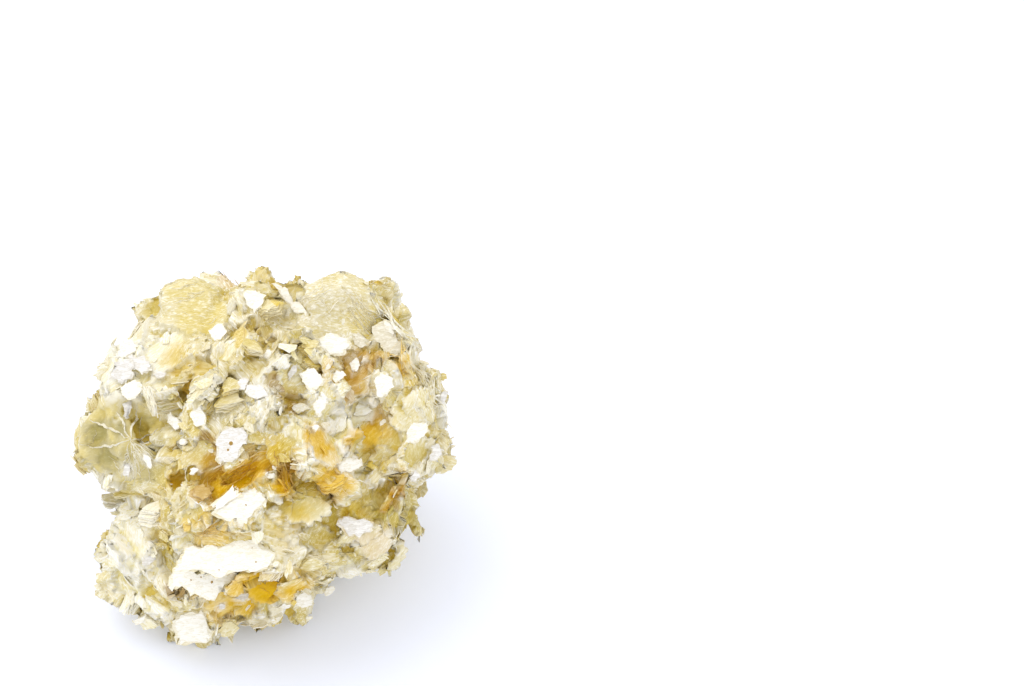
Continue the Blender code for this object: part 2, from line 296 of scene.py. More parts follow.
def beside_plate(place, reach):
    """Whether a place in mm is within reach of a plate."""
    for middle, _, _, _, outline in plates:
        across, down = np.ptp(np.array(outline), axis=0)
        if (place - middle).length < (across + down) / 4 / (PIXELS_PER_METRE * MM) + reach:
            return True
    return plate_over(place, reach) is not None


plates = [settle(*plate) for plate in PLATES_SEEN]
for chip in CHIPS_SEEN:
    # Chips are coloured white or silver: a pale split face with a painted glint.
    hue = rng.choice((WHITE, WHITE, SILVER))
    plates.append(settle(rng.gauss(0, 12), rng.gauss(28, 8), CHIP_SHEETS, hue, chip_outline(*chip)))
# The groundmass round each chip is painted paler: a painted highlight spilling from the chip's glint.
zones += [(on_solid(px, py), 0.5 * length + PLATE_HALO, white, 0.35) for px, py, length, _, _ in CHIPS_SEEN]

# ---------------------------------------------------------------------------------------------
# Groundmass: crystals of mica grown into each other, which fill the space between the free ones.
# It is a copy of the solid, cut into flat or edge-on crystals of 2 to 6 mm with ragged seams.
GROUND_GRAIN = 0.42  # mm between its corners
GROUND_SUNK = 0.35  # mm by which it lies below the solid's surface, on the whole
GROWN = 1500  # crystals tried, of which those too close to another are left out
GROWN_APART = (1.9, 4.6)  # least and greatest distance kept between their middles, in mm
GROWN_LIFT = 0.17  # mm by which a crystal stands out or lies back
GROWN_REACH, FORM_REACH = 0.55, 1.2  # mm by which a face evens the surface out, for small and large ones
ON_EDGE = 0.42  # share of the crystals that stand on edge
SHEET_STEP = 0.22  # mm, the height of the steps on a split face
SPLIT_SLOPE = 0.45  # share of a crystal's facing along the way out, past which its split faces show
SPLIT_PATCHES, SPLIT_LEVELS = 0.5, 5  # patches of one height on a split face, per mm, and their levels
EDGE_RELIEF = 0.2  # mm by which the edges of sheets stand out or lie back
DIPS, DIP_DEPTH = 4, 0.12  # small dips per mm, and their depth in mm
EDGE_FACES = 0.55  # share of a face's normal along the facing, under which it is the edge of a sheet
SEAMS = ((0.7, 0.9), (2.6, 0.3), (0.3, 1.0))  # waves of the seams: how many per mm, and their size in mm
SMOOTHED = 3  # rounds in which the copy of the solid is smoothed
# Larger crystals on the front: picture place, radius in mm, the way the split faces look in degrees
# round the picture and out of it (None where they follow the solid), lift in mm, tone, mottling, bend.
FORMS = (
    (190, 303, 4.6, None, None, 0.3, 0.45, 0.8, 0.0),
    (335, 312, 5.6, None, None, 0.3, 0.5, 0.8, 0.0),
    (398, 328, 3.4, 45, 12, 0.1, 0.5, 1.0, 0.08),
    (412, 366, 3.6, 20, 8, 0.2, 0.5, 1.0, 0.08),
    (392, 356, 2.4, 25, 5, -0.1, 0.4, 1.0, 0.08),
    (430, 398, 3.0, 10, 15, 0.2, 0.7, 1.0, 0.06),
    (410, 412, 2.8, -20, 60, 0.3, 0.7, 0.7, 0.0),
    (362, 410, 1.9, 30, 70, 0.4, 0.9, 0.15, 0.0),
    (338, 423, 2.1, 150, 65, 0.4, 0.9, 0.15, 0.0),
    (374, 544, 3.0, -60, 50, 0.4, 0.6, 0.5, 0.0),
    (308, 508, 2.6, 100, 60, 0.2, 0.5, 0.35, 0.0),
    (345, 490, 3.0, 60, 40, 0.8, 0.5, 0.8, 0.0),
    (212, 535, 2.6, 82, 8, 0.2, 0.6, 1.0, 0.03),
    (240, 534, 2.4, 80, 8, 0.2, 0.6, 1.0, 0.03),
    (390, 494, 3.2, -30, 20, -0.3, 0.3, 0.8, 0.0),
    (385, 470, 3.0, 70, 60, 1.3, 0.7, 0.7, 0.0),
    (143, 424, 1.5, None, None, 0.4, 0.2, 0.25, 0.0),
    (115, 425, 1.3, None, None, 0.0, 0.2, 0.2, 0.0),
    (97, 435, 1.4, None, None, 0.0, 0.2, 0.2, 0.0),
    (107, 457, 1.7, None, None, 0.0, 0.2, 0.2, 0.0),
    (262, 587, 2.8, -60, 50, 0.3, 0.2, 0.3, 0.0),
    (226, 602, 2.4, 100, 45, 0.2, 0.2, 0.6, 0.0),
    (245, 608, 2.2, -40, 40, 0.1, 0.2, 0.8, 0.0),
    (296, 402, 1.3, 60, 20, -0.6, 0.1, 1.0, 0.0),
    (284, 391, 1.5, 60, 20, -0.9, 0.1, 1.0, 0.0),
    (272, 378, 1.2, 30, 20, -0.8, 0.1, 1.0, 0.0),
    (255, 333, 0.8, 30, 20, -0.6, 0.1, 1.0, 0.0),
    (269, 336, 0.8, 30, 20, -0.6, 0.1, 1.0, 0.0),
    (386, 338, 3.2, 60, 50, 1.9, 0.7, 0.6, 0.0),
    (366, 336, 2.0, 80, 60, 1.4, 0.7, 0.6, 0.0),
    (140, 507, 3.0, 120, 55, 0.8, 0.9, 1.0, 0.0),
    (318, 487, 2.6, 90, 50, 1.1, 0.5, 0.7, 0.0),
    (350, 367, 1.6, 60, 50, 0.8, 0.5, 0.7, 0.0),
    (170, 443, 2.2, 100, 60, 0.9, 0.6, 0.6, 0.0),
    (290, 303, 2.4, 90, 50, 0.7, 0.7, 0.7, 0.0),
    (281, 347, 2.2, 80, 50, 0.9, 0.5, 0.7, 0.0),
    (292, 586, 2.0, -70, 50, 0.8, 0.5, 0.7, 0.0),
    (169, 590, 1.4, 80, 30, -0.8, 0.2, 1.0, 0.0),
    (250, 470, 3.4, 125, 12, -0.2, 0.3, 1.0, 0.02),
    (290, 480, 2.2, 190, 10, -0.3, 0.3, 1.0, 0.0),
    (114, 440, 6.4, None, None, 0.2, 0.3, 0.2, 0.0),
    (145, 462, 3.2, None, None, 0.2, 0.3, 0.6, 0.0),
)
HEART = Vector((0, 0, 20))  # mm, the point from which the crystals have grown outwards
SORTED_ALONG = Vector((1.0, 0.618, 0.414))  # the way in which the corners are numbered, each time the same
AROUND = 9  # directions in which the open space over a place is felt
GOLDEN_TURN = 2.4  # radians from one of them to the next
FEEL_FROM, FEEL = 0.7, 7.0  # mm over the place at which feeling starts, and how far it goes
HOLLOW_ROUNDS = 16  # rounds of smoothing against which hollows and ridges are told
OPEN_ENOUGH = 0.8  # openness under which painted shade deepens the colour
DEEPER_CLOSED, DEEPER_HOLLOW, PALER_RIDGE = 1.25, 0.7, 0.75  # how strongly painted shade deepens and painted highlight pales the colour, the last two per mm
# the colour towards which painted shade deepens the crevices and hollows
crevice = linear("#F9E36C")
areas = np.array([p.area for p in solid.data.polygons])
draws = np.random.default_rng(11)


def scatter(count):
    """Places drawn evenly from the faces of the solid, with the way out of the solid there."""
    for index in draws.choice(len(areas), count, p=areas / areas.sum()):
        face = solid.data.polygons[int(index)]
        a, b, c = (solid.data.vertices[v].co / MM for v in face.vertices[:3])
        s, t = sorted(draws.random(2))
        yield a * s + b * (t - s) + c * (1 - t), face.normal.copy()


def astray(spread):
    """A small random step in every direction."""
    return Vector([rng.gauss(0, spread) for _ in range(3)])


def grain_at(place, out, on_edge):
    """The way the split faces look at a place. Neighbours are nearly parallel, and some stand on edge."""
    grain = noise.noise_vector(place * 0.085).normalized()
    if on_edge:
        facing = (grain - out * grain.dot(out)).normalized() + out * rng.uniform(-0.1, 0.3)
    else:
        facing = out + grain * rng.uniform(0.1, 0.6)
    return (facing.normalized() + astray(0.12)).normalized()


def way_seen(turn, out):
    """A direction given in degrees round the picture, from its right, and out of it."""
    turn, out = math.radians(turn), math.radians(out)
    return (right * math.cos(turn) + up * math.sin(turn)) * math.cos(out) - view * math.sin(out)


def grow_forms():
    """The larger crystals on the front, with their radii."""
    for px, py, radius, turn, out, lift, tone, mottled, bend in FORMS:
        facing = None if turn is None else way_seen(turn, out)
        yield radius, (on_solid(px, py), facing, -view, lift, tone, bend, mottled)


def grow():
    """Crystals: middle, facing, the way out, lift in mm, tone, bend and mottling of each, well apart."""
    grown = []
    for place, out in scatter(GROWN):
        apart = rng.uniform(*GROWN_APART)
        if all((place - other[0]).length > apart for other in grown):
            round_out = ((place - HEART).normalized() + out).normalized()
            facing = grain_at(place, round_out, rng.random() < ON_EDGE)
            lift, tone, bend = rng.gauss(0, GROWN_LIFT), rng.random(), rng.gauss(0, 0.05)
            grown.append((place, facing, round_out, lift, tone, bend, rng.uniform(0.5, 1.0)))
    return grown


def find_tree(places):
    """A tree that finds the nearest of some places."""
    tree = KDTree(len(places))
    for index, place in enumerate(places):
        tree.insert(place, index)
    tree.balance()
    return tree


def openness(place, out):
    """How open the space over a place is, from 0 in a deep crevice to 1 on a bare top."""
    turn = out.to_track_quat("Z", "Y")
    total = 0.0
    for index in range(AROUND):
        rise, spin = 0.25 + 0.7 * (index + 0.5) / AROUND, index * GOLDEN_TURN
        flat = math.sqrt(1 - rise * rise)
        along = turn @ Vector((flat * math.cos(spin), flat * math.sin(spin), rise))
        hit = solid_tree.ray_cast(place + out * FEEL_FROM, along, FEEL)[3]
        total += 1.0 if hit is None else hit / FEEL
    return total / AROUND


def evened_solid():
    """The solid as a fresh mesh of evenly spaced corners, in metres."""
    mesh = solid.data.copy()
    bm = bmesh.new()
    bm.from_mesh(mesh)
    bmesh.ops.remove_doubles(bm, verts=bm.verts, dist=1e-6)
    bm.to_mesh(mesh)
    bm.free()
    piece = bpy.data.objects.new("evened", mesh)
    bpy.context.scene.collection.objects.link(piece)
    even = piece.modifiers.new("even", "REMESH")
    even.mode, even.voxel_size = "VOXEL", GROUND_GRAIN * MM
    evened = bpy.data.meshes.new_from_object(piece.evaluated_get(bpy.context.evaluated_depsgraph_get()))
    bpy.data.objects.remove(piece)
    return evened


def hollows(bm):
    """How far each corner lies below the mean of those around it, in mm, as an array."""
    places = np.array([v.co for v in bm.verts])
    ends = np.array([[v.index for v in e.verts] for e in bm.edges])
    ways = np.array([v.normal for v in bm.verts])
    count = np.bincount(ends.ravel(), minlength=len(places))[:, None]
    smooth = places.copy()
    for _ in range(HOLLOW_ROUNDS):
        total = np.zeros_like(smooth)
        for axis in range(3):
            total[:, axis] = np.bincount(ends[:, 0], smooth[ends[:, 1], axis], len(places))
            total[:, axis] += np.bincount(ends[:, 1], smooth[ends[:, 0], axis], len(places))
        smooth = 0.5 * smooth + 0.5 * total / count
    return ((smooth - places) * ways).sum(axis=1)


def shade(hue, is_open, hollow):
    """Painted shade and painted highlight: the colour is deeper yellow in crevices and hollows, where light
    comes through more mica, and paler on ridges.
    """
    deep = min(max((OPEN_ENOUGH - is_open) * DEEPER_CLOSED, 0), 1.0)
    deep += min(max(hollow * DEEPER_HOLLOW, 0), 0.5)
    hue = hue * crevice ** min(deep, 1.2)
    unstained = min(0.25 + hue[2] * 2.5, 1)
    return hue + (white - hue) * min(max(-hollow * PALER_RIDGE, 0), 0.5) * unstained


def new_mesh(start=None):
    """A mesh and its layers: each corner's place in its own book, its colour, and which faces are edges."""
    bm = bmesh.new()
    if start is not None:
        bm.from_mesh(start)
    own = bm.verts.layers.float_vector.new("book_place")
    tint = bm.verts.layers.float_color.new("tint")
    edge = bm.faces.layers.float.new("sheet_edge")
    return bm, own, tint, edge


def raise_crystal(here, out, crystal, middle, index):
    """How far the surface goes out from a place in mm to show its crystal, and its place in the crystal."""
    _, facing, _, lift, _, bend, _ = crystal
    from_middle = here - middle
    if facing is None:
        return lift, from_middle
    reach = FORM_REACH if index <= 0 else GROWN_REACH
    up_sheets = from_middle.dot(facing)
    flat = from_middle - facing * up_sheets
    slope = facing.dot(out)
    if abs(slope) > SPLIT_SLOPE:
        patch = noise.noise(flat * SPLIT_PATCHES + Vector((index, 0, 0)))
        step = math.floor(patch * SPLIT_LEVELS) * SHEET_STEP
        height = lift + reach * math.tanh((step * 0.5 - up_sheets) / slope / reach)
    else:
        height = lift + EDGE_RELIEF * noise.cell(Vector((up_sheets / SHEET_STEP, index, 0)))
    along = facing.orthogonal().normalized()
    sheet = up_sheets + bend * flat.length_squared
    return height, Vector((flat.dot(along), flat.dot(facing.cross(along)), sheet))


def crystal_at(place):
    """The crystal that holds a place in mm, its middle and its number."""
    for number, (radius, crystal) in enumerate(forms):
        if (place - crystal[0]).length < radius:
            return crystal, crystal[0], -number
    middle, index, _ = nearest_crystal.find(place)
    return crystals[index], middle, index


def grow_together():
    """The groundmass in mm, and the openness at each of its corners."""
    bm, own, tint, edge = new_mesh(evened_solid())
    bm.verts.sort(key=lambda vert: vert.co.dot(SORTED_ALONG))
    bm.faces.sort(key=lambda face: face.calc_center_median().dot(SORTED_ALONG))
    bm.verts.index_update()
    bm.faces.index_update()
    bmesh.ops.scale(bm, vec=(1 / MM,) * 3, verts=bm.verts)
    axes = {"use_axis_x": True, "use_axis_y": True, "use_axis_z": True}
    for _ in range(SMOOTHED):
        bmesh.ops.smooth_vert(bm, verts=bm.verts, factor=0.5, **axes)
    bm.normal_update()
    opens, owners = [], []
    for vert in bm.verts:
        here, out = vert.co.copy(), vert.normal
        seam = sum((noise.noise_vector(here * waves) * size for waves, size in SEAMS), Vector())
        crystal, middle, index = crystal_at(here + seam)
        owners.append(crystal)
        height, vert[own] = raise_crystal(here, out, crystal, middle, index)
        opens.append(openness(here + out * max(height - GROUND_SUNK, 0), out))
        vert.co = here + out * (height - GROUND_SUNK - DIP_DEPTH * noise.noise(here * DIPS))
        back = plate_over(vert.co)
        if back is not None:
            vert.co -= back
    bm.normal_update()
    for vert, is_open, owner, hollow in zip(bm.verts, opens, owners, hollows(bm)):
        # Painted shade in crevices and hollows and a painted highlight on ridges, over the sheets' own
        # colour.
        vert[tint] = (*shade(tint_at(vert.co, owner[4]), is_open, hollow), owner[6])
    for face in bm.faces:
        facing = owners[face.verts[0].index][1] or face.normal
        face[edge] = 1.0 if abs(face.normal.dot(facing)) < EDGE_FACES else 0.0
        face.smooth = True
    return bm, opens


crystals = grow()
forms = list(grow_forms())
nearest_crystal = find_tree([crystal[0] for crystal in crystals])
ground, opens = grow_together()
ground_places = [v.co.copy() for v in ground.verts]
ground_ways = [v.normal.copy() for v in ground.verts]
nearest_ground = find_tree(ground_places)


def pour(bm, into):
    """Moves the contents of one mesh into another."""
    loose = bpy.data.meshes.new("loose")
    bm.to_mesh(loose)
    bm.free()
    into.from_mesh(loose)
    bpy.data.meshes.remove(loose)


OVERHANG = Vector((0.4, 0.4, 0.4))  # mm by which a sheet may stand out of the box of the solid


def show(name, books, material):
    """Joins books in one piece, in metres, cut off at the floor and at the box of the solid."""
    bm = new_mesh()[0]
    for book in books:
        pour(book, bm)
    low, high = Vector(cad_box[0]) / MM - OVERHANG, Vector(cad_box[1]) / MM + OVERHANG
    low.z = 0.0
    for vert in bm.verts:
        vert.co = [min(max(c, least), most) for c, least, most in zip(vert.co, low, high)]
    bmesh.ops.scale(bm, vec=(MM, MM, MM), verts=bm.verts)
    mesh = bpy.data.meshes.new(name)
    bm.to_mesh(mesh)
    bm.free()
    mesh.materials.append(material)
    piece = bpy.data.objects.new(name, mesh)
    bpy.context.scene.collection.objects.link(piece)
    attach(piece, "root")
    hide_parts("mica_cluster")


def add_node(tree, kind, links=(), settings=(), **values):
    """Adds a node, with its settings, the values of its sockets by name or number, and links to them."""
    node = tree.nodes.new(kind)
    for key, value in settings:
        setattr(node, key, value)
    for key, value in values.items():
        node.inputs[int(key[1:]) if key[1:].isdigit() else key.replace("_", " ")].default_value = value
    for socket, source in links:
        tree.links.new(source, node.inputs[socket])
    return node


FLAW, DEPTH, VEIL_AND_EDGE_HIGHLIGHT = "#EDE3AA", "#A2903F", "#FCF9F2"  # flaws, the light between the sheets, the white veil and the painted highlight on the edges
EDGE_HIGHLIGHT = 0.34  # share of white painted on the edges of the sheets: a painted highlight
MICA_IOR = 1.58
RELIEF = 0.15 * MM  # depth of the fine lines on the edges of the sheets


def mica(name, rough, specular, clear, bump, flaw=FLAW):
    """Muscovite: sheets of potassium mica. Its split faces have a pearly gloss and white flaws, and the
    edges of the sheets are finely lined, with a painted highlight for their silky sheen. The light between
    the sheets is a deeper yellow."""
    material = bpy.data.materials.new(name)
    material.use_nodes = True
    tree = material.node_tree
    shader = tree.nodes["Principled BSDF"]
    shader.inputs["IOR"].default_value = MICA_IOR
    shader.inputs["Specular IOR Level"].default_value = specular
    shader.inputs["Transmission Weight"].default_value = clear
    tint, own, edge = (
        add_node(tree, "ShaderNodeAttribute", settings=[("attribute_name", layer)])
        for layer in ("tint", "book_place", "sheet_edge")
    )
    place, is_edge, mottled = own.outputs["Vector"], edge.outputs["Fac"], tint.outputs["Alpha"]
    times, colours = ("operation", "MULTIPLY"), ("data_type", "RGBA")
    # Lines 0.15 mm apart across the edges of the sheets, and flaws 0.3 mm wide and 1 mm long on their faces.
    lined = add_node(tree, "ShaderNodeMapping", [("Vector", place)], Scale=(0.7, 0.7, 6.0))
    lines = add_node(tree, "ShaderNodeTexNoise", [("Vector", lined.outputs[0])], Scale=1.0, Detail=4.0)
    waved = add_node(tree, "ShaderNodeMapping", [("Vector", place)], Scale=(1.3, 4.2, 2.6))
    waves = add_node(tree, "ShaderNodeTexNoise", [("Vector", waved.outputs[0])],
                     Scale=1.0, Detail=6.0, Roughness=0.62, Distortion=0.8)
    streaks = add_node(tree, "ShaderNodeMix",
                       [(0, is_edge), (2, waves.outputs["Fac"]), (3, lines.outputs["Fac"])])
    streak = [("Value", streaks.outputs[0])]
    # Flaws deepen the colour on one side of a streak, and light comes out of it on the other.
    dark = add_node(tree, "ShaderNodeMapRange", streak, From_Min=0.56, From_Max=0.36)
    darkened = add_node(tree, "ShaderNodeMath", [(0, dark.outputs[0]), (1, mottled)], [times])
    deeper = add_node(tree, "ShaderNodeMix", [(0, darkened.outputs[0]), (6, tint.outputs["Color"])],
                      [colours, ("blend_type", "MULTIPLY")], n7=(*linear(flaw), 1.0))
    pale = add_node(tree, "ShaderNodeMapRange", streak, From_Min=0.53, From_Max=0.66, To_Max=0.8)
    paled = add_node(tree, "ShaderNodeMath", [(0, pale.outputs[0]), (1, mottled)], [times])
    lit = add_node(tree, "ShaderNodeMix", [(0, paled.outputs[0]), (6, deeper.outputs[2])],
                   [colours, ("blend_type", "SCREEN")], n7=(*linear(DEPTH), 1.0))
    # A white veil lies over the pale flaws, and a painted highlight over the edges of the sheets, less so
    # where iron has stained them.
    blue = add_node(tree, "ShaderNodeSeparateColor", [("Color", tint.outputs["Color"])])
    unstained = add_node(tree, "ShaderNodeMapRange", [("Value", blue.outputs["Blue"])],
                         From_Max=0.4, To_Min=0.03)
    veiled = add_node(tree, "ShaderNodeMath", [(0, paled.outputs[0]), (1, unstained.outputs[0])], [times])
    edge_highlight = add_node(tree, "ShaderNodeMath", [(0, is_edge), (1, unstained.outputs[0])], [times])
    edged = add_node(tree, "ShaderNodeMath", [(0, edge_highlight.outputs[0]), (2, veiled.outputs[0])],
                     [("operation", "MULTIPLY_ADD"), ("use_clamp", True)], n1=EDGE_HIGHLIGHT)
    veil_and_highlight = add_node(tree, "ShaderNodeMix", [(0, edged.outputs[0]), (6, lit.outputs[2])],
                    [colours], n7=(*linear(VEIL_AND_EDGE_HIGHLIGHT), 1.0))
    gloss = add_node(tree, "ShaderNodeMapRange", [("Value", waves.outputs["Fac"])],
                     From_Min=0.35, From_Max=0.65, To_Min=rough * 0.6, To_Max=rough * 1.5)
    raised = add_node(tree, "ShaderNodeBump", [("Height", streaks.outputs[0])],
                      Strength=bump, Distance=RELIEF)
    tree.links.new(veil_and_highlight.outputs[2], shader.inputs["Base Color"])
    tree.links.new(gloss.outputs[0], shader.inputs["Roughness"])
    tree.links.new(raised.outputs[0], shader.inputs["Normal"])
    return material


# Free sheets have a soft pearly gloss. The massive mica is duller, as its faces lie every way.
pearly = mica("pearly_muscovite", rough=0.3, specular=0.22, clear=0.0, bump=0.7)
massive = mica("massive_muscovite", rough=0.4, specular=0.1, clear=0.0, bump=0.7)
show("groundmass", [ground], massive)

# ---------------------------------------------------------------------------------------------
# The sheets of the pearly plates, which have split off cleanly along the crystal, with a few dark
# specks of the rock on the largest. A fresh split is smooth and throws the light back nearly white,
# and its white colour is also a painted glint.
bright = mica("split_muscovite", rough=0.3, specular=0.6, clear=0.0, bump=0.25, flaw="#F1ECDA")
PLATE_MOTTLED = 0.75
SHEET_APART = 1.02  # sheet thicknesses from one sheet to the next


def on_plane(place, middle, facing):
    """The point in mm, in the plane through middle that looks along facing, seen at a picture place."""
    start, along = eye / MM, ray_of(*place)
    return start + along * (middle - start).dot(facing) / along.dot(facing)


def thicken(bm, way):
    """Makes a flat sheet as thick as way is long."""
    made = bmesh.ops.extrude_face_region(bm, geom=bm.faces[:])["geom"]
    top = [item for item in made if isinstance(item, bmesh.types.BMVert)]
    bmesh.ops.translate(bm, vec=way, verts=top)
    bmesh.ops.recalc_face_normals(bm, faces=bm.faces)


def mark_edges(bm, edge, facing):
    """Marks the faces that are the edges of sheets which look along facing."""
    for face in bm.faces:
        face[edge] = 1.0 if abs(face.normal.dot(facing)) < 0.5 else 0.0


def split_sheet(middle, facing, colour, outline, low, share):
    """One sheet of a pearly plate in mm."""
    bm, own, tint, edge = new_mesh()
    for place in outline:
        bm.verts.new(on_plane(place, middle, facing))
    centre = sum((v.co for v in bm.verts), Vector()) / len(bm.verts)
    bmesh.ops.contextual_create(bm, geom=bm.verts[:])
    bmesh.ops.subdivide_edges(bm, edges=bm.edges[:], cuts=3)
    for vert in bm.verts:
        ragged = noise.noise_vector(vert.co * 1.4 + Vector((low * 3, 0, 0)))
        ragged += noise.noise_vector(vert.co * 4 + Vector((low * 9, 0, 0))) * 1.3
        reach = vert.co - centre
        vert.co = centre + reach * share + ragged * min(PLATE_RAGGED, 0.25 * reach.length)
        vert.co -= facing * (vert.co - middle).dot(facing)
    thicken(bm, facing * PLATE_SHEET)
    bmesh.ops.translate(bm, vec=facing * low, verts=bm.verts)
    bmesh.ops.triangulate(bm, faces=[f for f in bm.faces if len(f.verts) > 4])
    along = (right - facing * facing.dot(right)).normalized()
    for vert in bm.verts:
        off = vert.co - middle
        vert[own] = (off.dot(along), off.dot(facing.cross(along)), off.dot(facing))
        vert[tint] = (*colour, PLATE_MOTTLED)
    mark_edges(bm, edge, facing)
    return bm


def split_plates():
    """All the sheets of the pearly plates."""
    for middle, facing, sheets, colour, outline in plates:
        for index in range(sheets):
            low = index * PLATE_SHEET * SHEET_APART
            top = (index + 1) / sheets
            hue = linear(colour) * top + tint_at(middle, 0.6) * (1 - top)
            yield split_sheet(middle, facing, hue, outline, low, 1 - index * PLATE_STEP)


SPECKS_SEEN = (  # picture place, length in mm
    (197, 573, 0.5), (201, 577, 0.3), (205, 573, 0.35), (212, 582, 0.45), (191, 580, 0.3), (219, 570, 0.25),
    (256, 562, 0.3), (252, 548, 0.2), (231, 443, 0.7), (228, 450, 0.4), (240, 462, 0.4), (246, 505, 0.3),
)


def specks():
    """Crumbs of brown rock that lie on the plates, somewhat flattened."""
    for px, py, length in SPECKS_SEEN:
        middle, facing = min(plates, key=lambda plate: math.dist(seen_at(plate[0]), (px, py)))[:2]
        top = middle + facing * (3 * PLATE_SHEET)
        crumb, own, tint, _ = new_mesh()
        bmesh.ops.create_icosphere(crumb, subdivisions=1, radius=length / 2)
        for vert in crumb.verts:
            vert.co *= rng.uniform(0.6, 1.1)
            vert[own] = vert.co
            vert[tint] = (*linear(BROWN), 0.5)
            vert.co -= facing * vert.co.dot(facing) * 0.6
        bmesh.ops.translate(crumb, vec=on_plane((px, py), top, facing), verts=crumb.verts)
        yield crumb


show("pearly_plates", [*split_plates(), *specks()], bright)

# ---------------------------------------------------------------------------------------------
# Books: stacks of thin sheets that split along one plane. Each sheet is a six-sided plate, broken
# back on some sides, so the stack is stepped on top and finely lined on its sides.
SHEET_TILT = 0.012  # radians by which the sheets of one book lean apart
SHEET_SLIP = 0.02  # share of its width by which a sheet is off the one below
RAGGED = 0.035  # share of its width by which the edge of a sheet is uneven
STEPPED = 0.5  # share of the sheets of a book that have snapped back from the one below
BOOK_CUTS = 2  # corners on each side of a sheet
BOOK_SHEET = 0.16  # mm, the thickness of a sheet
BOOKS_SHARE = 0.22  # share of the crystals whose sheets stand free of the groundmass
BOOK_LENGTH = (2.2, 5.2)  # mm, least and greatest
FLAT_THICK, EDGE_THICK = (0.5, 1.3), (0.9, 2.4)  # mm, of books that lie flat and of those on edge
LIES_FLAT = 0.6  # share of its facing along the way out, past which a book or flake lies flat
FLAT_SUNK, EDGE_SUNK = 0.55, 0.32  # depth of their middles, in mm, and in lengths for those on edge
PALER_OUT = 0.4  # how much paler a book is painted, a painted highlight, for each mm by which it stands out


def make_sheet(size, cuts, reach, low, thick, bend, broken):
    """One sheet in mm. reach holds how far each of its six corners lies from its middle, as a share of
    size, and broken the direction and distance of the straight line at which it has snapped off."""
    bm, own, _, edge = new_mesh()
    bmesh.ops.create_circle(bm, cap_ends=True, segments=6, radius=1.0)
    for vert, share in zip(bm.verts, reach):
        vert.co *= share
    bmesh.ops.subdivide_edges(bm, edges=bm.edges[:], cuts=cuts)
    for vert in bm.verts:
        vert.co += Vector((rng.gauss(0, RAGGED), rng.gauss(0, RAGGED), 0))
    angle, distance = broken
    across = Vector((math.cos(angle), math.sin(angle), 0))
    whole = [*bm.faces, *bm.edges, *bm.verts]
    bmesh.ops.bisect_plane(
        bm, geom=whole, plane_co=across * distance, plane_no=across, clear_outer=True
    )
    thicken(bm, Vector((0, 0, thick)))
    lean = Matrix.Rotation(rng.gauss(0, SHEET_TILT), 4, "X")
    lean = lean @ Matrix.Rotation(rng.gauss(0, SHEET_TILT), 4, "Y")
    slip = Vector((rng.gauss(0, SHEET_SLIP), rng.gauss(0, SHEET_SLIP), 0))
    bmesh.ops.translate(bm, vec=slip, verts=bm.verts)
    bmesh.ops.scale(bm, vec=(*size, 1), verts=bm.verts)
    bmesh.ops.transform(bm, matrix=Matrix.Translation((0, 0, low)) @ lean, verts=bm.verts)
    mark_edges(bm, edge, Vector((0, 0, 1)))
    for vert in bm.verts:
        vert[own] = vert.co
        vert.co.z += bend * (vert.co.x**2 + 0.3 * vert.co.y**2)
    return bm


def make_book(size, thick, sheets, bend):
    """A book in mm, lying flat with its middle at the origin. Its sheets have snapped back in steps."""
    book = new_mesh()[0]
    reach = [0.5 * rng.uniform(0.65, 1.2) for _ in range(6)]
    angle, distance = rng.uniform(0, math.tau), rng.uniform(0.35, 0.5)
    pitch = thick / sheets
    for index in range(sheets):
        if rng.random() < STEPPED:
            reach[rng.randrange(6)] *= rng.uniform(0.75, 0.97)
            distance -= rng.uniform(0.02, 0.09)
        loose = [r * rng.gauss(1, 0.03) for r in reach]
        snapped = angle + rng.gauss(0, 0.1), max(distance, 0.05) + rng.gauss(0, 0.015)
        low = -thick / 2 + index * pitch
        sheet_thick = pitch * rng.uniform(0.75, 1.0)
        pour(make_sheet(size, BOOK_CUTS, loose, low, sheet_thick, bend, snapped), book)
    return book


def lay(book, place, facing, along, tone, stain=None):
    """Puts a book at a place in mm, its flat side towards facing and its length along, and colours it."""
    z = facing.normalized()
    x = (along - z * along.dot(z)).normalized()
    turn = Matrix((x, z.cross(x), z)).transposed().to_4x4()
    bmesh.ops.transform(book, matrix=Matrix.Translation(place) @ turn, verts=book.verts)
    whole = tint_at(place, tone)
    mottled = rng.uniform(0.4, 1.0)
    if stain is not None:
        whole = whole + (linear(stain[0]) - whole) * stain[1]
    tint = book.verts.layers.float_color["tint"]
    # Each corner takes the painted shade of the groundmass under it, and a painted highlight where it stands
    # out from it.
    for vert in book.verts:
        near, index, _ = nearest_ground.find(vert.co)
        above = (vert.co - near).dot(ground_ways[index])
        vert[tint] = (*shade(whole, opens[index], -PALER_OUT * above), mottled)
    return book


def random_way():
    """A direction drawn at random."""
    return astray(1).normalized()


